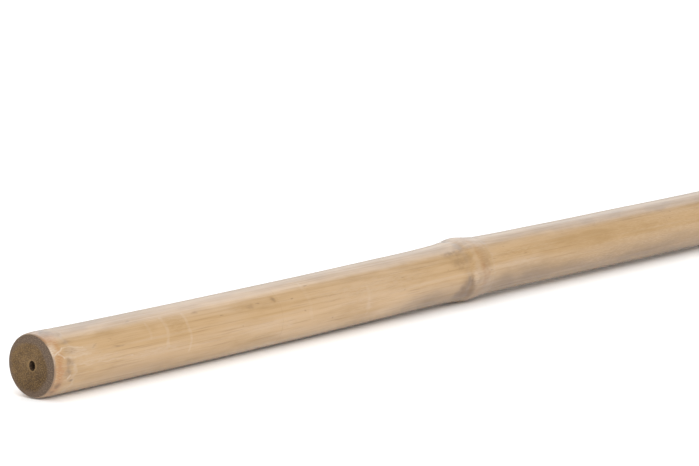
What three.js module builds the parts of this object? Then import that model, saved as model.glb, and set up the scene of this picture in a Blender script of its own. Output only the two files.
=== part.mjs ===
// A bamboo cane: one sawn length of a thick-walled culm, lying on its side.
// Millimetres, +Z up. The culm runs along X, from its butt end at -X to its tip end at +X, and its origin is the
// middle of the surface under it. It rests on the ridges of its nodes and on the edge of its butt end, all in one
// plane, and its sideways sweep keeps it from rolling.
import * as THREE from "three";

// Driving dimensions
const BUTT_RADIUS = 11;
const TAPER = 0.00075; // radius lost per millimetre of length
const INTERNODES = [222, 236, 243, 247, 244]; // ridge to ridge, the first starting at the butt's saw cut
const TIP_BEYOND_LAST_RIDGE = 8;
const LENGTH = INTERNODES.reduce((sum, length) => sum + length, TIP_BEYOND_LAST_RIDGE);
const SIDES = 28;
const WIDE = 1.006; // the section's width and height, as shares of a round one's
const TALL = 0.994;

// A node's swelling: a sharp ridge on a broad skirt, steeper on the butt side
const RIDGE = { height: 0.75, buttSide: 5, tipSide: 6.5 };
const SKIRT = { height: 0.45, buttSide: 13, tipSide: 11 };
const BUTT_NODE_SHARE = 0.1; // the saw cut and its rounding leave this much of the swelling at the butt

// The sawn ends: a small bevel round the face, then a rounded shoulder
const BUTT_END = { bevel: 0.3, bevelDrop: 0.2, shoulder: 4.5, shoulderDrop: 0.6 };
const TIP_END = { bevel: 0.3, bevelDrop: 0.2, shoulder: 3, shoulderDrop: 0.4 };
const SHOULDER_STEPS = 3;

// The pith channel that each saw cut opens: a narrow oval hole, closed at its inner end
const PITH = { radius: 1.5, depth: 30, tall: 1.13, wide: 0.87 };

// How far each internode bows from the straight line between its ends, towards -Y and down
const BOW_SIDEWAYS = [0.9, 0.7, -1.2, 1, -1.1];
const BOW_DOWN = [0.4, 0.15, 0.1, 0.15, 0.1];
const SWEEP = 5; // the whole culm's sideways sweep, towards +Y in the middle

const RIDGES = INTERNODES.reduce((at, length) => [...at, at[at.length - 1] + length], [0]);
const SUPPORTS = [BUTT_END.shoulder, ...RIDGES.slice(1)]; // the places where the culm touches the surface
const HALF_SIDE = Math.PI / SIDES; // the turn that brings a flat side under the culm
const NODE_STATIONS = [-20, -13, -8.5, -5, -2.5, 0, 2.5, 5, 8, 12, 18]; // ring places round a ridge
const INTERNODE_STEP = 32;

// The swelling's height at a distance from a ridge, towards the tip if positive
function swelling(distance) {
  const rise = ({ height, buttSide, tipSide }) =>
    height * Math.exp(-((distance / (distance < 0 ? buttSide : tipSide)) ** 2));
  return rise(RIDGE) + rise(SKIRT);
}

// The culm's radius at a distance from the butt's saw cut, before its ends are rounded
function culmRadius(x) {
  const swellings = RIDGES.map((ridge, i) => swelling(x - ridge) * (i === 0 ? BUTT_NODE_SHARE : 1));
  return BUTT_RADIUS - TAPER * x + Math.max(...swellings);
}

// How much a sawn end's shoulder takes off the radius at a distance from its face
function shoulderDrop(end, fromFace) {
  const share = Math.max(0, 1 - fromFace / end.shoulder);
  return end.shoulderDrop * share ** 2;
}

// Places along the culm where the profile has a point, from face to face
function stations() {
  const places = new Set();
  for (const ridge of RIDGES) for (const step of NODE_STATIONS) places.add(ridge + step);
  for (let i = 0; i < INTERNODES.length; i++) {
    const from = RIDGES[i] + NODE_STATIONS.at(-1);
    const to = RIDGES[i + 1] + NODE_STATIONS[0];
    const steps = Math.round((to - from) / INTERNODE_STEP);
    for (let k = 1; k < steps; k++) places.add(from + ((to - from) * k) / steps);
  }
  const inside = [...places].filter((x) => x > BUTT_END.shoulder + 1 && x < LENGTH - TIP_END.shoulder - 1);
  for (let k = 0; k <= SHOULDER_STEPS; k++) {
    const share = k / SHOULDER_STEPS;
    inside.push(BUTT_END.bevel + (BUTT_END.shoulder - BUTT_END.bevel) * share);
    inside.push(LENGTH - TIP_END.bevel - (TIP_END.shoulder - TIP_END.bevel) * share);
  }
  return inside.sort((a, b) => a - b);
}

// Half of the culm's lengthwise section, from the axis in one pith channel round to the axis in the other
function profile() {
  const skin = stations().map((x) => {
    const radius = culmRadius(x) - shoulderDrop(BUTT_END, x) - shoulderDrop(TIP_END, LENGTH - x);
    return new THREE.Vector2(radius, x);
  });
  const buttFace = skin[0].x - BUTT_END.bevelDrop;
  const tipFace = skin.at(-1).x - TIP_END.bevelDrop;
  return [
    new THREE.Vector2(0, PITH.depth),
    new THREE.Vector2(PITH.radius, PITH.depth),
    new THREE.Vector2(PITH.radius, 0),
    new THREE.Vector2(buttFace, 0),
    ...skin,
    new THREE.Vector2(tipFace, LENGTH),
    new THREE.Vector2(PITH.radius, LENGTH),
    new THREE.Vector2(PITH.radius, LENGTH - PITH.depth),
    new THREE.Vector2(0, LENGTH - PITH.depth),
  ];
}

// The axis's height over the surface where the culm lies on a flat side of its section
function restingHeight(x) {
  return culmRadius(x) * TALL * Math.cos(HALF_SIDE);
}

// Where the culm's axis lies: each support touches the surface, and the culm bows a little between them
function axisOffset(x) {
  const last = SUPPORTS.findLastIndex((support) => support <= x);
  const i = THREE.MathUtils.clamp(last, 0, SUPPORTS.length - 2);
  const share = (x - SUPPORTS[i]) / (SUPPORTS[i + 1] - SUPPORTS[i]);
  const bow = 4 * share * (1 - share);
  const height = THREE.MathUtils.lerp(restingHeight(SUPPORTS[i]), restingHeight(SUPPORTS[i + 1]), share);
  const along = x / LENGTH;
  return {
    y: SWEEP * 4 * along * (1 - along) - BOW_SIDEWAYS[i] * bow,
    z: height - BOW_DOWN[i] * bow,
  };
}

// Turns the round, straight culm into the oval, slightly crooked one
function growCrooked(geometry) {
  const position = geometry.getAttribute("position");
  const point = new THREE.Vector3();
  for (let i = 0; i < position.count; i++) {
    point.fromBufferAttribute(position, i);
    const inPith = Math.hypot(point.y, point.z) < PITH.radius + 0.01;
    const wide = inPith ? PITH.wide : WIDE;
    const tall = inPith ? PITH.tall : TALL;
    const axis = axisOffset(point.x);
    position.setXYZ(i, point.x, point.y * wide + axis.y, point.z * tall + axis.z);
  }
  return geometry;
}

function culm() {
  const geometry = new THREE.LatheGeometry(profile(), SIDES, HALF_SIDE).rotateZ(-Math.PI / 2);
  growCrooked(geometry).computeBoundingBox();
  const { min, max } = geometry.boundingBox;
  geometry.translate(-(min.x + max.x) / 2, -(min.y + max.y) / 2, -min.z);
  geometry.computeVertexNormals();
  return geometry;
}

const bamboo = new THREE.MeshStandardMaterial({ color: 0xc8a578, roughness: 0.45, metalness: 0 });
const cane = new THREE.Mesh(culm(), bamboo);
cane.name = "cane";

const part = new THREE.Group();
part.add(cane);
export default part;
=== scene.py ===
"""A bamboo cane, laid out as a Blender add-on and run as a script.

The CAD culm gives the place and size of every round section and of every node. Over it this file grows
the visible cane: swollen nodes with their sheath scars, sawn ends with a pith hole in each, waxy skin and
speckled end grain.
"""

import math
import bmesh
import bpy
import numpy as np
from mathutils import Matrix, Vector, noise


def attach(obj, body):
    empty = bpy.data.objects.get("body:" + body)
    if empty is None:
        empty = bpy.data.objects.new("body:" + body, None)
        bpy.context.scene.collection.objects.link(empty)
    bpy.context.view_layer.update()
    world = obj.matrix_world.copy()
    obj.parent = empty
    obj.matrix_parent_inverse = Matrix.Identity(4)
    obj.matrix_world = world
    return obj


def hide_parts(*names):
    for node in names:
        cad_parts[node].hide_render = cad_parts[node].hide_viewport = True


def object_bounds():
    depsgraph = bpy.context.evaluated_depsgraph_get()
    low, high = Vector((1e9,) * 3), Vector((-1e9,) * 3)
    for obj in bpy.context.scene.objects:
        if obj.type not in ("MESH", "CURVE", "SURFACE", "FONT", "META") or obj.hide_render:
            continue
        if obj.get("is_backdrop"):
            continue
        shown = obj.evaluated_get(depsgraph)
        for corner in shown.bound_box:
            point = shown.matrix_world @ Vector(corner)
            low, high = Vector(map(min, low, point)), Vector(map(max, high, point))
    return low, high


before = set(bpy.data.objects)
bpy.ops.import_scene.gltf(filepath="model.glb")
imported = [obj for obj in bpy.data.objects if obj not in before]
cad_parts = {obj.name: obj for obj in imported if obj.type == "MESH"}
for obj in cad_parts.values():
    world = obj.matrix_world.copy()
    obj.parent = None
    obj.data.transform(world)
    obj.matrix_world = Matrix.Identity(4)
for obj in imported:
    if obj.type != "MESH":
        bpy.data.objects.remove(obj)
CAD_LOW, CAD_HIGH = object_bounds()

bl_info = {
    "name": "Bamboo Cane",
    "version": (1, 0, 0),
    "blender": (4, 5, 0),
    "location": "View3D > Sidebar > Bamboo Cane",
    "description": "Grows a sawn bamboo cane over its CAD culm, and sets a pale studio round it",
    "category": "Object",
}

MM = 0.001
CULM = "cane"
BODY = "root"
PIECE = "bamboo_cane"
SKIN, END_GRAIN, PITH = range(3)  # the cane's material slots
SKIN_MAP = "skin"  # along the culm and round it, in millimetres
BAKE_MAP = "OFBake"
FROM_RIDGE = "from_ridge"  # millimetres past the nearest ridge, towards the tip if positive
ACROSS = "across"  # place on a sawn face, as a share of its radius

PITH_DEPTH = 30 * MM
PITH_HALF = np.array([1.3, 1.7]) * MM  # half the width and half the height of the hole's mouth
PITH_TAPER = 0.25  # the share of its size that the hole loses on the way in
PITH_CLEARANCE = 0.5 * MM  # between the visible hole's inner end and the CAD one's
FACE_RINGS = 25
PITH_RINGS = 15

# Bands round each node: the middle, half width and softness, in millimetres past the ridge
SCAR_BAND = (-4.5, 1.6, 3.4)
RIDGE_BAND = (-1.2, 0.8, 1.6)
RUSTY_BAND = (2.6, 1.2, 2.6)
PALE_BAND = (8.2, 0.25, 0.9)

# The ways from the cane towards the lights
FRONT = (-0.6, -0.8, 0.5)
OVERHEAD = (0.2, 0.3, 0.9)
BEHIND = (0.64, 0.43, 0.64)
FLOOR_REACH = 40  # how many times the cane's length the floor reaches each way

# Marks on the skin, and patches of painted shade and painted light, each with its place in millimetres from
# the butt's saw cut and round the culm from its top down the -Y side, then its half length and half width,
# and how strongly it shows
OCHRE_PATCHES = [
    ((59.0, 10.5), (7.0, 5.0), 0.55),
    ((46.0, 10.0), (4.0, 1.5), 0.4),
    ((25.0, 6.8), (18.0, 0.7), 0.6),
    ((93.0, 9.5), (7.0, 2.0), 0.5),
    ((109.0, 9.0), (2.6, 2.0), 0.8),
    ((226.0, 10.5), (5.0, 6.5), 0.8),
    ((248.0, 11.8), (20.0, 1.6), 0.6),
    ((335.0, 13.0), (110.0, 18.0), 0.45),
    # Partly the second internode's ochre tone, partly painted shade low on its -Y side
    ((340.0, 23.0), (125.0, 9.0), 0.85),
]
RUSTY_PATCHES = [
    ((1.8, 5.4), (3.4, 5.0), 1.0),
    ((2.0, 18.0), (2.4, 7.0), 1.0),
    ((2.0, 25.0), (2.6, 4.0), 0.9),
    ((223.5, 14.2), (2.0, 1.6), 0.5),
]
SMUDGES = [
    ((30.0, 13.3), (4.0, 0.3), 0.35),
    ((70.0, 7.6), (1.8, 0.9), 0.35),
    ((96.5, 10.0), (2.0, 1.2), 0.4),
    ((109.0, 9.0), (1.5, 1.2), 0.5),
    ((6.6, 15.5), (2.2, 1.9), 0.65),
    ((5.8, 18.6), (2.2, 1.8), 0.6),
    ((7.4, 21.4), (1.6, 0.8), 0.8),
    ((8.0, 11.8), (3.2, 1.2), 0.5),
    ((7.5, 8.4), (3.2, 1.3), 0.4),
    ((6.8, 4.6), (2.2, 3.2), 0.35),
    ((3.2, 2.8), (2.8, 1.8), 0.6),
    ((3.4, 1.0), (3.4, 3.0), 0.85),
    ((1.9, 22.9), (2.0, 1.6), 0.75),
    ((1.7, 25.6), (1.8, 1.3), 0.75),
    ((216.2, 18.4), (2.8, 2.6), 0.85),
    ((214.0, 21.4), (3.0, 2.8), 0.75),
    ((211.6, 24.4), (3.2, 2.6), 0.6),
    ((212.5, 11.5), (6.0, 3.4), 0.4),
    ((210.0, 7.4), (6.0, 1.8), 0.55),
    ((221.0, 2.6), (2.4, 1.4), 0.5),
    ((216.0, 5.4), (2.6, 1.6), 0.5),
]
# Painted shade, in the scar colour: a band along the whole top, more over the second internode's top and
# near the butt's top, and more low on the -Y side and by the first node
PAINTED_SHADE_PATCHES = [
    ((600.0, 3.2), (900.0, 4.4), 0.6),
    ((40.0, 23.0), (26.0, 6.0), 0.2),
    ((335.0, 24.5), (120.0, 8.0), 0.6),
    ((22.0, 2.0), (26.0, 5.0), 0.45),
    ((340.0, 5.2), (110.0, 3.2), 0.35),
    ((198.0, 25.0), (28.0, 7.5), 0.65),
    ((225.0, 16.5), (5.0, 8.0), 0.22),
    ((214.5, 23.5), (5.5, 8.0), 0.5),
    ((245.0, 23.5), (40.0, 8.0), 0.6),
]
# Pale rubbed skin in the wax colour, and one patch of painted light
RUBBED_AND_PAINTED_LIGHT_PATCHES = [
    ((0.9, 10.4), (1.8, 3.0), 1.0),
    ((0.6, 10.4), (1.2, 2.2), 0.8),
    ((12.0, 12.3), (9.0, 2.0), 0.8),
    ((18.0, 15.5), (16.0, 2.0), 0.45),
    ((48.0, 17.5), (16.0, 1.6), 0.45),
    ((104.0, 18.0), (16.0, 1.6), 0.3),
    ((115.0, 19.0), (3.0, 1.4), 0.35),
    ((160.0, 12.5), (40.0, 5.0), 0.4),
    # Painted light: a pale band along the lower edge, where light bounces up from the floor
    ((105.0, 30.0), (100.0, 4.5), 0.6),
    ((158.0, 18.0), (3.0, 2.0), 0.3),
    ((219.5, 17.3), (2.2, 3.6), 0.7),
    ((248.0, 15.6), (18.0, 2.0), 0.45),
]

# Pale lines on the skin: where each starts and ends, its half width, and how strongly it shows
RUBBED_LINES = [
    ((0.8, 12.3), (5.0, 10.4), 0.4, 0.55),
    ((5.0, 10.4), (14.0, 11.0), 0.4, 0.3),
    ((2.6, 12.2), (4.4, 13.8), 0.4, 0.55),
    ((4.4, 13.8), (17.0, 13.9), 0.5, 0.3),
    ((5.8, 20.6), (7.2, 19.6), 0.4, 0.4),
    ((10.0, 17.0), (36.0, 17.1), 0.4, 0.22),
    ((46.0, 8.0), (45.4, 13.0), 1.0, 0.12),
    ((54.0, 7.0), (53.2, 17.0), 1.1, 0.16),
    ((64.6, 7.0), (64.2, 20.0), 1.1, 0.16),
    ((126.0, 5.0), (126.6, 18.0), 1.3, 0.08),
    ((158.0, 12.0), (157.6, 22.0), 1.3, 0.08),
]


# Settings a user would change


class CaneShape(bpy.types.PropertyGroup):
    sides: bpy.props.IntProperty(
        name="Sides", description="Points round each section of the skin", default=112, min=24, max=256
    )
    fine_step: bpy.props.FloatProperty(
        name="Fine step", description="Spacing of the sections at nodes and sawn ends",
        default=0.45 * MM, unit="LENGTH",
    )
    coarse_step: bpy.props.FloatProperty(
        name="Coarse step", description="Widest spacing of the sections in an internode",
        default=3.4 * MM, unit="LENGTH",
    )
    waviness: bpy.props.FloatProperty(
        name="Waviness", description="How far the skin swells and dips along an internode",
        default=0.1 * MM, unit="LENGTH",
    )
    flutes: bpy.props.FloatProperty(
        name="Flutes", description="Depth of the shallow lengthwise flutes",
        default=0.03 * MM, unit="LENGTH",
    )
    scar_depth: bpy.props.FloatProperty(
        name="Sheath scar", description="Depth of the groove that a fallen sheath leaves",
        default=0.14 * MM, unit="LENGTH",
    )
    face_dish: bpy.props.FloatProperty(
        name="Face dish", description="How far the soft middle of a sawn face lies below its rim",
        default=0.2 * MM, unit="LENGTH",
    )
    saw_marks: bpy.props.FloatProperty(
        name="Saw marks", description="Depth of the marks that the saw left on the end grain",
        default=0.05 * MM, unit="LENGTH",
    )


class CaneColours(bpy.types.PropertyGroup):
    straw: bpy.props.FloatVectorProperty(
        name="Straw", description="Most of the skin", subtype="COLOR", default=(0.392, 0.25, 0.116)
    )
    ochre: bpy.props.FloatVectorProperty(
        name="Ochre", description="Darker, yellower patches of the skin", subtype="COLOR",
        default=(0.29, 0.167, 0.05),
    )
    # wax also colours the painted light along the lower edge
    wax: bpy.props.FloatVectorProperty(
        name="Wax", description="Pale waxy skin", subtype="COLOR", default=(0.42, 0.31, 0.21)
    )
    bloom: bpy.props.FloatVectorProperty(
        name="Bloom", description="The palest lines, where the skin is rubbed or peeled", subtype="COLOR",
        default=(0.52, 0.42, 0.33),
    )
    rust: bpy.props.FloatVectorProperty(
        name="Rust", description="The band just past each ridge", subtype="COLOR",
        default=(0.3, 0.132, 0.036),
    )
    # scar also colours the painted shade patches
    scar: bpy.props.FloatVectorProperty(
        name="Scar", description="Grey-brown sheath scars and stains", subtype="COLOR",
        default=(0.112, 0.056, 0.019),
    )
    # rim also colours the skin's dark edge at each cut, which is partly painted shade
    rim: bpy.props.FloatVectorProperty(
        name="Rim wood", description="The dense wood at the edge of a sawn face", subtype="COLOR",
        default=(0.103, 0.072, 0.052),
    )
    heart: bpy.props.FloatVectorProperty(
        name="Heart wood", description="The softer wood inside it", subtype="COLOR",
        default=(0.122, 0.077, 0.039),
    )
    hole: bpy.props.FloatVectorProperty(
        name="Hole", description="The wall of the pith hole", subtype="COLOR",
        default=(0.03, 0.017, 0.009),
    )


class StudioSettings(bpy.types.PropertyGroup):
    floor_colour: bpy.props.FloatVectorProperty(
        name="Floor", description="Colour of the floor", subtype="COLOR", default=(0.98, 0.98, 0.98)
    )
    room_light: bpy.props.FloatProperty(
        name="Room light", description="Strength of the even white light", default=0.72
    )
    front_light: bpy.props.FloatProperty(
        name="Front light", description="Strength of the soft light in front of the cane", default=2.6
    )
    top_light: bpy.props.FloatProperty(
        name="Top light", description="Strength of the soft light over the cane", default=0.85
    )
    back_light: bpy.props.FloatProperty(
        name="Back light", description="Strength of the light behind, which the gloss reflects",
        default=0.37,
    )
    back_spread: bpy.props.FloatProperty(
        name="Back spread", description="How wide the back light looks",
        default=math.radians(52), subtype="ANGLE",
    )
    spread: bpy.props.FloatProperty(
        name="Spread", description="How wide the front and top lights look",
        default=math.radians(75), subtype="ANGLE",
    )
    lens: bpy.props.FloatProperty(
        name="Lens", description="Focal length of the camera", default=196.8, subtype="DISTANCE_CAMERA"
    )
    azimuth: bpy.props.FloatProperty(
        name="Azimuth", description="Where the camera stands, counted from -Y towards -X",
        default=math.radians(49.47), subtype="ANGLE",
    )
    elevation: bpy.props.FloatProperty(
        name="Elevation", description="How far above level the camera stands",
        default=math.radians(9.64), subtype="ANGLE",
    )
    distance: bpy.props.FloatProperty(
        name="Distance", description="From the camera to the point it looks at",
        default=1.3546, unit="LENGTH",
    )
    aim_along: bpy.props.FloatProperty(
        name="Aim", description="The point looked at, as a distance from the butt's saw cut",
        default=0.1614, unit="LENGTH",
    )
    aim_height: bpy.props.FloatProperty(
        name="Aim height", description="The height of the point looked at",
        default=0.03345, unit="LENGTH",
    )


# The culm's form


def culm_sections(culm):
    """The CAD culm's sections from butt to tip: their x, centre y, centre z, half width and half height."""
    points = np.array([vertex.co for vertex in culm.data.vertices])
    pith_limit = (CAD_HIGH.z - CAD_LOW.z) / 4  # a section narrower than this belongs to a pith hole
    rows = []
    for x in np.unique(points[:, 0].round(5)):
        ring = points[abs(points[:, 0] - x) < 0.01 * MM]
        low, high = ring.min(0), ring.max(0)
        centre, half = (low + high) / 2, (high - low) / 2
        if half[1] > pith_limit:
            rows.append((x, centre[1], centre[2], half[1], half[2]))
    return np.array(rows).T


def ridge_places(x, half_width):
    """Where the section is widest: the saw cut through the butt's node, then each ridge."""
    widest = (half_width[1:-1] > half_width[:-2]) & (half_width[1:-1] > half_width[2:])
    ridges = x[1:-1][widest]
    ridges[0] = x[0]
    return ridges


def smooth(at, x, y):
    """A curve through the points x, y that has no corners, read at the places given."""
    slope = np.gradient(y, x)
    i = np.clip(np.searchsorted(x, at) - 1, 0, len(x) - 2)
    run = x[i + 1] - x[i]
    t = (at - x[i]) / run
    rest = 1 - t
    return (
        y[i] * rest**2 * (1 + 2 * t)
        + y[i + 1] * t**2 * (3 - 2 * t)
        + run * (slope[i] * t * rest**2 - slope[i + 1] * t**2 * rest)
    )


def section_places(shape, ends, ridges):
    """Places for the visible sections: close together at sawn ends and nodes, wider apart between them."""
    busy = np.concatenate([ridges, ends])
    quiet_from, growth = 9 * MM, 0.08
    places = [ends[0]]
    while places[-1] < ends[1] - shape.fine_step:
        away = abs(places[-1] - busy).min() - quiet_from
        step = shape.fine_step + growth * max(away, 0)
        places.append(places[-1] + min(step, shape.coarse_step))
    return np.array(places[:-1] + [ends[1]])


def bumps(points, size, seed):
    """Smooth noise between -1 and 1 at each point, with bumps of the size given along X, Y and Z."""
    shift = Vector((seed * 17.3, seed * 5.1, seed * 9.7))
    scaled = points / size
    return np.array([noise.noise(Vector(point) + shift) for point in scaled])


def bell(distance, width):
    """1 at distance 0, falling smoothly to nothing a few widths away."""
    return np.exp(-((distance / width) ** 2))


def past_ridge(x, ridges):
    """How far each place is past its nearest ridge."""
    nearest = abs(x[:, None] - ridges).argmin(1)
    return x - ridges[nearest]


def skin_relief(shape, points, past):
    """How far the skin stands proud of the CAD section at each point."""
    wave = bumps(points, (30 * MM, 5 * MM, 5 * MM), 1) * 1.6 * MM
    lump = bumps(points, 4 * MM, 2)
    relief = shape.waviness * bumps(points, (45 * MM, 9 * MM, 9 * MM), 3)
    relief += shape.flutes * bumps(points, (160 * MM, 2.2 * MM, 2.2 * MM), 4)
    groove = bell(past + 4.6 * MM + wave, 1.4 * MM) * (1 + 0.5 * lump)
    lip = bell(past + 7.2 * MM + wave, 1.3 * MM)
    crest = bell(past, 4 * MM) * lump
    sheath_line = bell(past - 8 * MM + 0.6 * wave, 0.5 * MM) * (1 + lump)
    return relief + shape.scar_depth * (0.5 * lip - groove + 0.35 * crest + 0.4 * sheath_line)


def loop_points(centre, half, turns, proud=0.0):
    """Points round one section, the first underneath, going up the -Y side. turns are angles in radians."""
    y = centre[0] - np.sin(turns) * (half[0] + proud)
    z = centre[1] - np.cos(turns) * (half[1] + proud)
    return y, z


class CulmForm:
    """The closed surface of the cane, as loops of points from one pith hole's end to the other's."""

    def __init__(self, shape, culm):
        x, y, z, wide, tall = culm_sections(culm)
        self.shape = shape
        self.ridges = ridge_places(x, wide)
        self.turns = np.linspace(0, 2 * np.pi, shape.sides, endpoint=False)
        self.ends = np.array([x[0], x[-1]])
        self.places = section_places(shape, self.ends, self.ridges)
        self.axis = np.array([smooth(self.places, x, y), smooth(self.places, x, z)]).T
        self.half = np.array([smooth(self.places, x, wide), smooth(self.places, x, tall)]).T

    def skin_loops(self):
        """The skin, from the butt's edge to the tip's."""
        count = self.shape.sides
        x = np.repeat(self.places, count)
        turns = np.tile(self.turns, len(self.places))
        axis = np.repeat(self.axis, count, axis=0).T
        half = np.repeat(self.half, count, axis=0).T
        y, z = loop_points(axis, half, turns)
        past = past_ridge(x, self.ridges)
        proud = skin_relief(self.shape, np.array([x, y - axis[0], z - axis[1]]).T, past)
        from_end = np.minimum(x - self.ends[0], self.ends[1] - x)
        proud *= 1 - bell(from_end, 0.8 * MM)
        y, z = loop_points(axis, half, turns, proud)
        z = np.maximum(z, CAD_LOW.z)
        return np.array([x, y, z]).T.reshape(-1, count, 3)

    def face_loops(self, end):
        """A sawn face, from its rim to the edge of the pith hole: end 0 is the butt, 1 the tip."""
        inward = 1 - 2 * end
        centre, half = self.axis[-end], self.half[-end]
        loops = []
        for share in np.linspace(0, 1, FACE_RINGS + 1)[1:]:
            size = half * (1 - share) + PITH_HALF * share
            y, z = loop_points(centre, size, self.turns)
            points = np.array([np.zeros_like(y), y, z]).T
            grain = bumps(points, 0.8 * MM, 5 + end) * 0.6 + bumps(points, (1, 6 * MM, 0.9 * MM), 7 + end)
            settle = min(1, share * 6)
            dish = self.shape.face_dish * math.sin(math.pi * min(share, 0.9) / 1.8) ** 2
            depth = dish + settle * self.shape.saw_marks * (1 + grain)
            loops.append(np.array([self.ends[end] + inward * depth, y, z]).T)
        return np.array(loops)

    def pith_loops(self, end):
        """The pith hole's wall, from its mouth to its inner end."""
        inward = 1 - 2 * end
        centre = self.axis[-end]
        loops = []
        for depth in np.linspace(0, PITH_DEPTH - PITH_CLEARANCE, PITH_RINGS + 1)[1:]:
            wall = PITH_HALF * (1 - PITH_TAPER * depth / PITH_DEPTH)
            y, z = loop_points(centre, wall, self.turns)
            points = np.array([np.full_like(y, depth), y, z]).T
            y, z = loop_points(centre, wall, self.turns, 0.12 * MM * bumps(points, 1.5 * MM, 11 + end))
            loops.append(np.array([np.full_like(y, self.ends[end] + inward * depth), y, z]).T)
        return np.array(loops)

    def all_loops(self):
        """Every loop in order, and the material of the band that follows each of them."""
        parts = [
            (self.pith_loops(0)[::-1], PITH),
            (self.face_loops(0)[::-1], END_GRAIN),
            (self.skin_loops(), SKIN),
            (self.face_loops(1), END_GRAIN),
            (self.pith_loops(1), PITH),
        ]
        loops = np.concatenate([part for part, _ in parts])
        bands = np.concatenate([np.full(len(part), slot) for part, slot in parts])
        last_skin = len(parts[0][0]) + len(parts[1][0]) + len(parts[2][0]) - 1
        bands[last_skin] = END_GRAIN
        bands[last_skin + len(parts[3][0])] = PITH
        return loops, bands[:-1]


def closed_mesh(name, loops, bands):
    """A mesh from loops of points joined in order, with a fan of triangles over each end."""
    rows, count = loops.shape[:2]
    points = loops.reshape(-1, 3)
    tips = [loops[0].mean(0), loops[-1].mean(0)]
    row = np.arange(rows - 1)[:, None] * count
    here = np.arange(count)
    after = (here + 1) % count
    corners = [row + here, row + after, row + count + after, row + count + here]
    quads = np.stack(corners, axis=-1).reshape(-1, 4)
    last = (rows - 1) * count
    first_fan = [(len(points), b, a) for a, b in zip(here, after)]
    last_fan = [(len(points) + 1, last + a, last + b) for a, b in zip(here, after)]
    mesh = bpy.data.meshes.new(name)
    faces = [tuple(quad) for quad in quads.tolist()] + first_fan + last_fan
    mesh.from_pydata(np.concatenate([points, tips]).tolist(), [], faces)
    slots = np.concatenate([np.repeat(bands, count), np.full(2 * count, PITH)])
    mesh.polygons.foreach_set("material_index", slots.astype(np.int32))
    mesh.polygons.foreach_set("use_smooth", np.ones(len(faces), bool))
    return mesh


def face_outward(mesh):
    """Turns every face's front to the outside."""
    shell = bmesh.new()
    shell.from_mesh(mesh)
    bmesh.ops.recalc_face_normals(shell, faces=shell.faces)
    shell.to_mesh(mesh)
    shell.free()


def mesh_points(mesh):
    points = np.empty(len(mesh.vertices) * 3)
    mesh.vertices.foreach_get("co", points)
    return points.reshape(-1, 3)


def add_numbers(mesh, name, kind, field, values):
    """Keeps one value for each point of the mesh, for a material to read."""
    attribute = mesh.attributes.new(name, kind, "POINT")
    attribute.data.foreach_set(field, np.asarray(values, np.float32).ravel())


def corner_facts(mesh, form):
    """Each face corner's point, face middle, turn round the axis and material slot, for the maps."""
    points = mesh_points(mesh)
    vertex = np.empty(len(mesh.loops), np.int32)
    mesh.loops.foreach_get("vertex_index", vertex)
    total = np.empty(len(mesh.polygons), np.int32)
    mesh.polygons.foreach_get("loop_total", total)
    face = np.repeat(np.arange(len(total)), total)
    slot = np.empty(len(mesh.polygons), np.int32)
    mesh.polygons.foreach_get("material_index", slot)
    places = points[vertex]
    axis_y = np.interp(places[:, 0], form.places, form.axis[:, 0])
    axis_z = np.interp(places[:, 0], form.places, form.axis[:, 1])
    turn = np.arctan2(-(places[:, 1] - axis_y), -(places[:, 2] - axis_z)) / (2 * np.pi) % 1
    middle = np.add.reduceat(places, np.cumsum(total) - total) / total[:, None]
    highest = np.maximum.reduceat(turn, np.cumsum(total) - total)[face]
    turn = np.where((highest > 0.75) & (turn < 0.25), turn + 1, turn)
    return places, middle[face], turn, slot[face]


def add_skin_map(mesh, facts, form):
    """Lays the skin out flat: millimetres from the butt's cut, and round from the top down the -Y side."""
    places, _, turn, _ = facts
    radius = form.half.mean() / MM
    along = (places[:, 0] - form.ends[0]) / MM
    around = (0.5 - turn) * 2 * np.pi * radius
    layer = mesh.uv_layers.new(name=SKIN_MAP)
    layer.uv.foreach_set("vector", np.array([along, around], np.float32).T.ravel())


def add_bake_map(mesh, facts, form):
    """Lays everything out in one square: four strips of skin, then the sawn faces and the pith holes."""
    places, middle, turn, slot = facts
    strips, gap, height = 4, 0.004, 0.226
    length = form.ends[1] - form.ends[0]
    strip = np.clip(((middle[:, 0] - form.ends[0]) / length * strips).astype(int), 0, strips - 1)
    u = ((places[:, 0] - form.ends[0]) / length * strips - strip) * (1 - 2 * gap) + gap
    v = strip * (height + gap) + gap + turn * (height - gap)
    disc = 0.5 * (1 - strips * (height + gap)) - gap
    end = (middle[:, 0] > 0).astype(int)
    centre = form.axis[-end]
    reach = form.half.max() * 1.02
    row = strips * (height + gap) + disc + gap
    face_u = 0.05 + 0.1 * end + (places[:, 1] - centre[:, 0]) / reach * disc
    face_v = row + (places[:, 2] - centre[:, 1]) / reach * disc
    depth = np.minimum(places[:, 0] - form.ends[0], form.ends[1] - places[:, 0]) / PITH_DEPTH
    pith_u = 0.3 + 0.3 * end + depth * 0.25
    pith_v = row + (turn - 0.5) * 2 * disc * 0.95
    u = np.where(slot == SKIN, u, np.where(slot == END_GRAIN, face_u, pith_u))
    v = np.where(slot == SKIN, v, np.where(slot == END_GRAIN, face_v, pith_v))
    layer = mesh.uv_layers.new(name=BAKE_MAP)
    layer.uv.foreach_set("vector", np.array([u, v], np.float32).T.ravel())


def add_material_numbers(mesh, form):
    """Stores where each point lies from its nearest ridge, and on a sawn face where it lies across it."""
    points = mesh_points(mesh)
    past = past_ridge(points[:, 0], form.ridges) / MM
    add_numbers(mesh, FROM_RIDGE, "FLOAT", "value", past)
    end = (points[:, 0] > 0).astype(int)
    across = np.zeros_like(points)
    across[:, :2] = (points[:, 1:] - form.axis[-end]) / form.half[-end]
    add_numbers(mesh, ACROSS, "FLOAT_VECTOR", "vector", across)


# Finishes


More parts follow.
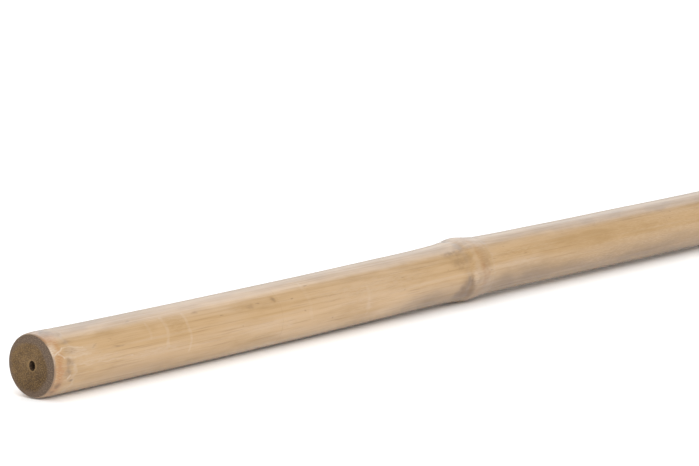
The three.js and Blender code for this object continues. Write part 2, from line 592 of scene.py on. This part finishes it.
class Finish:
    """One material and the short calls that wire its nodes."""

    def __init__(self, name, **sockets):
        self.material = bpy.data.materials.new(name)
        self.material.use_nodes = True
        self.tree = self.material.node_tree
        self.shader = self.tree.nodes["Principled BSDF"]
        for socket, value in sockets.items():
            self.shader.inputs[socket.replace("_", " ").title().replace("Ior", "IOR")].default_value = value

    def node(self, kind, output=0, inputs=(), **settings):
        """Adds a node, sets it, plugs sockets or values into its inputs, and gives one of its outputs."""
        made = self.tree.nodes.new(kind)
        for key, value in settings.items():
            setattr(made, key, value)
        for key, value in dict(inputs).items():
            self.plug(made.inputs[key], value)
        return made.outputs[output]

    def plug(self, socket, value):
        if isinstance(value, bpy.types.NodeSocket):
            self.tree.links.new(value, socket)
        else:
            socket.default_value = value

    def maths(self, operation, a, b=0.0, clamp=False):
        return self.node("ShaderNodeMath", inputs={0: a, 1: b}, operation=operation, use_clamp=clamp)

    def number(self, name):
        return self.node("ShaderNodeAttribute", "Fac", attribute_name=name)

    def place(self, name):
        return self.node("ShaderNodeAttribute", "Vector", attribute_name=name)

    def stretched(self, vector, scale):
        return self.node("ShaderNodeVectorMath", inputs={0: vector, 1: scale}, operation="MULTIPLY")

    def shifted(self, vector, by):
        return self.node("ShaderNodeVectorMath", inputs={0: vector, 1: by}, operation="ADD")

    def length(self, vector):
        return self.node("ShaderNodeVectorMath", "Value", {0: vector}, operation="LENGTH")

    def dot(self, a, b):
        return self.node("ShaderNodeVectorMath", "Value", {0: a, 1: b}, operation="DOT_PRODUCT")

    def noise(self, vector, scale, size=1.0, detail=2.0, roughness=0.5):
        """Noise whose grains measure size over scale along each axis."""
        stretched = self.stretched(vector, scale)
        inputs = {"Vector": stretched, "Scale": 1 / size, "Detail": detail, "Roughness": roughness}
        return self.node("ShaderNodeTexNoise", "Fac", inputs)

    def between(self, value, low, high, to_low=0.0, to_high=1.0):
        """value from low to high becomes to_low to to_high, smoothly and no further."""
        inputs = {"Value": value, "From Min": low, "From Max": high, "To Min": to_low, "To Max": to_high}
        return self.node("ShaderNodeMapRange", 0, inputs, interpolation_type="SMOOTHSTEP")

    def band(self, value, centre, half, soft):
        """1 within half of the centre, falling to 0 over soft."""
        away = self.maths("ABSOLUTE", self.maths("SUBTRACT", value, centre))
        return self.between(away, half, half + soft, 1.0, 0.0)

    def spot(self, flat, centre, half_size):
        """1 in the middle of an oval, falling softly to 0 at its edge."""
        away = self.shifted(flat, (-centre[0], -centre[1], 0.0))
        scaled = self.stretched(away, (1 / half_size[0], 1 / half_size[1], 0.0))
        return self.between(self.length(scaled), 0.1, 1.3, 1.0, 0.0)

    def stroke(self, flat, start, end, half_width):
        """1 along a straight line from start to end, falling softly to 0 at its half width."""
        run = Vector(end) - Vector(start)
        away = self.shifted(flat, (-start[0], -start[1], 0.0))
        share = self.maths("ADD", self.dot(away, (*run / run.length_squared, 0.0)), 0.0, clamp=True)
        inputs = {0: (*run, 0.0), "Scale": share}
        along = self.node("ShaderNodeVectorMath", inputs=inputs, operation="SCALE")
        across = self.node("ShaderNodeVectorMath", inputs={0: away, 1: along}, operation="SUBTRACT")
        return self.between(self.length(across), 0.3 * half_width, half_width, 1.0, 0.0)

    def mixed(self, share, below, above):
        """Two colours, the second laid over the first by share."""
        inputs = {0: share, 6: self.colour(below), 7: self.colour(above)}
        return self.node("ShaderNodeMix", 2, inputs, data_type="RGBA")

    def colour(self, value):
        return value if isinstance(value, bpy.types.NodeSocket) else (*value[:3], 1.0)

    def finish(self, colour, roughness, height, strength, depth):
        """Gives the shader its colour and roughness, and the height as a bump of the depth given."""
        self.plug(self.shader.inputs["Base Color"], colour)
        self.plug(self.shader.inputs["Roughness"], roughness)
        bump = self.node("ShaderNodeBump", 0, {"Strength": strength, "Distance": depth, "Height": height})
        self.plug(self.shader.inputs["Normal"], bump)
        return self.material


def skin_base(skin, place, colours):
    """Straw with ochre patches, waxy clouds, fibres and flecks; and the fibres, for the bump."""
    hair = skin.noise(place, (45, 3000, 3000), detail=1.0)
    fibre = skin.noise(place, (12, 900, 900), detail=2.0)
    patch = skin.noise(place, (26, 130, 130), detail=4.0, roughness=0.62)
    cloud = skin.noise(place, (14, 90, 90), detail=3.0, roughness=0.6)
    fleck = skin.noise(place, (190, 620, 620), detail=2.0)
    colour = skin.mixed(skin.between(patch, 0.42, 0.7, 0.0, 0.85), colours.straw, colours.ochre)
    colour = skin.mixed(skin.between(cloud, 0.48, 0.72, 0.0, 0.35), colour, colours.wax)
    colour = skin.mixed(skin.between(fibre, 0.5, 0.72, 0.0, 0.4), colour, colours.ochre)
    colour = skin.mixed(skin.between(fibre, 0.26, 0.46, 0.24, 0.0), colour, colours.wax)
    colour = skin.mixed(skin.between(hair, 0.55, 0.8, 0.0, 0.3), colour, colours.scar)
    colour = skin.mixed(skin.between(fleck, 0.7, 0.78, 0.0, 0.5), colour, colours.scar)
    return colour, skin.maths("ADD", skin.maths("MULTIPLY", hair, 0.4), fibre)


def node_bands(skin, place, colour, colours):
    """Round each node: a smudged scar, a paler ridge, a streaked rusty band and a pale line past it."""
    past = skin.number(FROM_RIDGE)
    ragged = skin.noise(place, (70, 240, 240), detail=3.0)
    blotch = skin.noise(place, (110, 130, 130), detail=2.0)
    streaks = skin.noise(place, (380, 2000, 2000), detail=2.0)
    edge = skin.maths("ADD", past, skin.between(ragged, 0.2, 0.8, -1.8, 1.8))
    smudge = skin.band(edge, *SCAR_BAND)
    smudge = skin.maths("MULTIPLY", smudge, skin.between(blotch, 0.42, 0.62, 0.12, 0.62))
    colour = skin.mixed(smudge, colour, colours.scar)
    colour = skin.mixed(skin.maths("MULTIPLY", skin.band(edge, *RIDGE_BAND), 0.2), colour, colours.wax)
    rusty = skin.band(edge, *RUSTY_BAND)
    rusty = skin.maths("MULTIPLY", rusty, skin.between(streaks, 0.35, 0.65, 0.15, 0.55))
    rusty = skin.maths("MULTIPLY", rusty, skin.between(blotch, 0.35, 0.6, 1.0, 0.55))
    colour = skin.mixed(rusty, colour, colours.rust)
    line = skin.band(edge, *PALE_BAND)
    line = skin.maths("MULTIPLY", line, skin.between(blotch, 0.4, 0.6, 0.05, 0.35))
    return skin.mixed(line, colour, colours.wax)


def placed_marks(skin, flat, colour, colours):
    """The marks that belong to one place each, with the patches of painted shade and painted light.
    flat is the skin map's vector, in millimetres.
    """
    wander = skin.node("ShaderNodeTexNoise", "Color", {"Vector": flat, "Scale": 0.22, "Detail": 1.5})
    warped = skin.shifted(flat, skin.stretched(skin.shifted(wander, (-0.5, -0.5, -0.5)), (3.0, 2.0, 0.0)))
    streaks = skin.between(skin.noise(flat, (0.4, 2.4, 1.0), detail=2.0), 0.35, 0.62, 0.35, 1.0)
    short_streaks = skin.between(skin.noise(flat, (0.7, 4.0, 1.0), detail=1.0), 0.38, 0.6, 0.15, 1.0)
    shade = skin.between(skin.noise(flat, (0.06, 0.2, 1.0), detail=2.0), 0.35, 0.65, 0.6, 1.0)
    mottle = skin.between(skin.noise(flat, (0.4, 0.5, 1.0), detail=2.5), 0.36, 0.6, 0.5, 1.0)
    kinds = (
        (OCHRE_PATCHES, streaks, colours.ochre),
        (RUSTY_PATCHES, short_streaks, colours.rust),
        # painted shade, in the scar colour
        (PAINTED_SHADE_PATCHES, shade, colours.scar),
        (SMUDGES, mottle, colours.scar),
        # rubbed skin and painted light, in the wax colour
        (RUBBED_AND_PAINTED_LIGHT_PATCHES, streaks, colours.wax),
    )
    for patches, texture, tint in kinds:
        for centre, half_size, share in patches:
            spot = skin.maths("MULTIPLY", skin.spot(warped, centre, half_size), share)
            colour = skin.mixed(skin.maths("MULTIPLY", spot, texture), colour, tint)
    for start, end, half_width, share in RUBBED_LINES:
        line = skin.maths("MULTIPLY", skin.stroke(warped, start, end, half_width), share)
        colour = skin.mixed(skin.maths("MULTIPLY", line, mottle), colour, colours.bloom)
    return colour


def culm_skin(colours):
    """Straw skin with a waxy gloss, its nodes' bands, a dark edge at each cut that is partly painted shade,
    and its own marks, with patches of painted shade and painted light among them.
    """
    skin = Finish("culm_skin", coat_weight=1.0, coat_roughness=0.16, specular_ior_level=0.35)
    place = skin.node("ShaderNodeTexCoord", "Object")
    flat = skin.node("ShaderNodeUVMap", "UV", uv_map=SKIN_MAP)
    colour, height = skin_base(skin, place, colours)
    colour = node_bands(skin, place, colour, colours)
    # A dark edge at each cut: partly the rim wood's own colour, partly painted shade that dulls the
    # highlight on the rounded edge
    length = (CAD_HIGH.x - CAD_LOW.x) / MM
    along = skin.node("ShaderNodeSeparateXYZ", "X", {0: flat})
    from_cut = skin.maths("MINIMUM", along, skin.maths("SUBTRACT", length, along))
    colour = skin.mixed(skin.between(from_cut, 0.3, 0.8, 0.6, 0.0), colour, colours.rim)
    colour = placed_marks(skin, flat, colour, colours)
    roughness = skin.between(height, 0.4, 1.0, 0.35, 0.5)
    return skin.finish(colour, roughness, height, 0.25, 0.0002)


def bundle_ends(grain, place, spacing):
    """The cut ends of fibre bundles, as dark dots and pale rings, spaced by a share of the radius."""
    inputs = {"Vector": place, "Scale": 1 / spacing, "Randomness": 0.8}
    away = grain.node("ShaderNodeTexVoronoi", "Distance", inputs)
    return grain.between(away, 0.12, 0.3, 1.0, 0.0), grain.band(away, 0.36, 0.04, 0.14)


def end_grain(colours):
    """Dry sawn wood: a dense rim, wider on one side, round softer wood dotted with fibre bundles' ends."""
    grain = Finish("end_grain", specular_ior_level=0.12)
    place = grain.place(ACROSS)
    radius = grain.length(place)
    lean = grain.dot(place, (-0.16, 0.08, 0.0))
    wander = grain.between(grain.noise(place, (1, 1, 1), size=0.9), 0.2, 0.8, -0.07, 0.07)
    depth = grain.maths("ADD", grain.maths("ADD", radius, lean), wander)
    low_side = grain.dot(place, (-0.5, -0.8, 0.0))
    rim = grain.between(depth, 0.68, 0.86)
    dust = grain.noise(place, (26, 26, 26), detail=2.0)
    cloud = grain.noise(place, (2.2, 2.2, 2.2), detail=2.0)
    wide_dots, wide_rings = bundle_ends(grain, place, 0.085)
    close_dots, _ = bundle_ends(grain, place, 0.05)

    colour = grain.mixed(grain.between(cloud, 0.35, 0.65, 0.0, 0.4), colours.heart, colours.hole)
    colour = grain.mixed(grain.between(low_side, -0.1, 0.55, 0.0, 0.65), colour, colours.hole)
    colour = grain.mixed(grain.between(dust, 0.45, 0.7, 0.0, 0.3), colour, colours.straw)
    colour = grain.mixed(grain.maths("MULTIPLY", wide_rings, 0.16), colour, colours.ochre)
    colour = grain.mixed(grain.maths("MULTIPLY", wide_dots, 0.5), colour, colours.hole)
    rim_colour = grain.mixed(grain.maths("MULTIPLY", close_dots, 0.3), colours.rim, colours.hole)
    rim_colour = grain.mixed(grain.between(dust, 0.45, 0.7, 0.0, 0.25), rim_colour, colours.wax)
    colour = grain.mixed(grain.maths("MULTIPLY", rim, 0.95), colour, rim_colour)
    mouth = grain.band(radius, 0.175, 0.012, 0.03)
    colour = grain.mixed(grain.maths("MULTIPLY", mouth, 0.2), colour, colours.straw)
    height = grain.maths("SUBTRACT", dust, wide_dots)
    return grain.finish(colour, 0.75, height, 0.3, 0.0003)


def pith_wall(colours):
    """The dark, dusty wall of the pith hole."""
    wall = Finish("pith_wall", specular_ior_level=0.2)
    place = wall.node("ShaderNodeTexCoord", "Object")
    dust = wall.noise(place, (300, 1500, 1500), detail=3.0)
    colour = wall.mixed(wall.between(dust, 0.4, 0.7, 0.0, 0.5), colours.hole, colours.heart)
    return wall.finish(colour, 0.9, dust, 0.4, 0.0003)


# Operators


class GrowCane(bpy.types.Operator):
    """Grows the visible cane over its CAD culm."""

    bl_idname = "bamboo_cane.grow_cane"
    bl_label = "Grow cane"
    bl_options = {"REGISTER", "UNDO"}

    def execute(self, context):
        scene = context.scene
        form = CulmForm(scene.cane_shape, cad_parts[CULM])
        loops, bands = form.all_loops()
        mesh = closed_mesh(PIECE, loops, bands)
        face_outward(mesh)
        facts = corner_facts(mesh, form)
        add_skin_map(mesh, facts, form)
        add_bake_map(mesh, facts, form)
        add_material_numbers(mesh, form)
        for finish in (culm_skin, end_grain, pith_wall):
            mesh.materials.append(finish(scene.cane_colours))
        cane = bpy.data.objects.new(PIECE, mesh)
        scene.collection.objects.link(cane)
        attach(cane, BODY)
        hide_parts(CULM)
        return {"FINISHED"}


class SetStudio(bpy.types.Operator):
    """Sets the camera, a pale floor and soft light round the cane."""

    bl_idname = "bamboo_cane.set_studio"
    bl_label = "Set studio"
    bl_options = {"REGISTER", "UNDO"}

    def execute(self, context):
        scene = context.scene
        settings = scene.studio_settings
        place_camera(scene, settings)
        lay_floor(scene, settings)
        hang_light(scene, "front_light", FRONT, settings.front_light, settings.spread)
        hang_light(scene, "top_light", OVERHEAD, settings.top_light, settings.spread)
        hang_light(scene, "back_light", BEHIND, settings.back_light, settings.back_spread)
        light_room(scene, settings)
        scene.view_settings.view_transform = "Standard"
        return {"FINISHED"}


def place_camera(scene, settings):
    centre = (CAD_LOW + CAD_HIGH) / 2
    aim = Vector((CAD_LOW.x + settings.aim_along, centre.y, CAD_LOW.z + settings.aim_height))
    level = math.cos(settings.elevation)
    towards_camera = Vector((
        -math.sin(settings.azimuth) * level,
        -math.cos(settings.azimuth) * level,
        math.sin(settings.elevation),
    ))
    camera = bpy.data.objects.new("camera", bpy.data.cameras.new("camera"))
    camera.data.lens = settings.lens
    camera.location = aim + towards_camera * settings.distance
    camera.rotation_euler = (-towards_camera).to_track_quat("-Z", "Y").to_euler()
    scene.collection.objects.link(camera)
    scene.camera = camera


def lay_floor(scene, settings):
    reach = FLOOR_REACH * (CAD_HIGH.x - CAD_LOW.x)
    mesh = bpy.data.meshes.new("floor")
    corners = [(-reach, -reach, 0), (reach, -reach, 0), (reach, reach, 0), (-reach, reach, 0)]
    mesh.from_pydata([Vector(corner) + Vector((0, 0, CAD_LOW.z)) for corner in corners], [], [(0, 1, 2, 3)])
    paper = Finish("floor_paper", specular_ior_level=0.2)
    paper.shader.inputs["Base Color"].default_value = (*settings.floor_colour, 1.0)
    paper.shader.inputs["Roughness"].default_value = 0.8
    mesh.materials.append(paper.material)
    floor = bpy.data.objects.new("floor", mesh)
    scene.collection.objects.link(floor)
    floor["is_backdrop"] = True


def hang_light(scene, name, towards_light, strength, spread):
    lamp = bpy.data.lights.new(name, "SUN")
    lamp.energy = strength
    lamp.angle = spread
    light = bpy.data.objects.new(name, lamp)
    light.rotation_euler = Vector(towards_light).to_track_quat("Z", "Y").to_euler()
    scene.collection.objects.link(light)


def light_room(scene, settings):
    world = bpy.data.worlds.new("room")
    world.use_nodes = True
    background = world.node_tree.nodes["Background"]
    background.inputs["Color"].default_value = (1.0, 1.0, 1.0, 1.0)
    background.inputs["Strength"].default_value = settings.room_light
    scene.world = world


class CanePanel(bpy.types.Panel):
    """Lists the cane's settings and operators."""

    bl_idname = "VIEW3D_PT_bamboo_cane"
    bl_label = "Bamboo Cane"
    bl_space_type = "VIEW_3D"
    bl_region_type = "UI"
    bl_category = "Bamboo Cane"

    def draw(self, context):
        layout = self.layout
        for operator in (SetStudio, GrowCane):
            layout.operator(operator.bl_idname)
        for group in GROUPS:
            settings = getattr(context.scene, group)
            box = layout.box()
            for name in settings.bl_rna.properties.keys():
                if name not in ("rna_type", "name"):
                    box.prop(settings, name)


GROUPS = {"cane_shape": CaneShape, "cane_colours": CaneColours, "studio_settings": StudioSettings}
CLASSES = (*GROUPS.values(), SetStudio, GrowCane, CanePanel)


def register():
    for made in CLASSES:
        bpy.utils.register_class(made)
    for name, group in GROUPS.items():
        setattr(bpy.types.Scene, name, bpy.props.PointerProperty(type=group))


def unregister():
    for name in GROUPS:
        delattr(bpy.types.Scene, name)
    for made in reversed(CLASSES):
        bpy.utils.unregister_class(made)


def write_sizes():
    """Gathers the CAD box and the visible cane's box into a table that nothing keeps."""
    boxes = {"cad": [CAD_LOW, CAD_HIGH], "visual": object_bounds()}
    {name: [list(corner) for corner in box] for name, box in boxes.items()}


def main():
    register()
    bpy.ops.bamboo_cane.set_studio()
    bpy.ops.bamboo_cane.grow_cane()
    write_sizes()


if __name__ == "__main__":
    main()
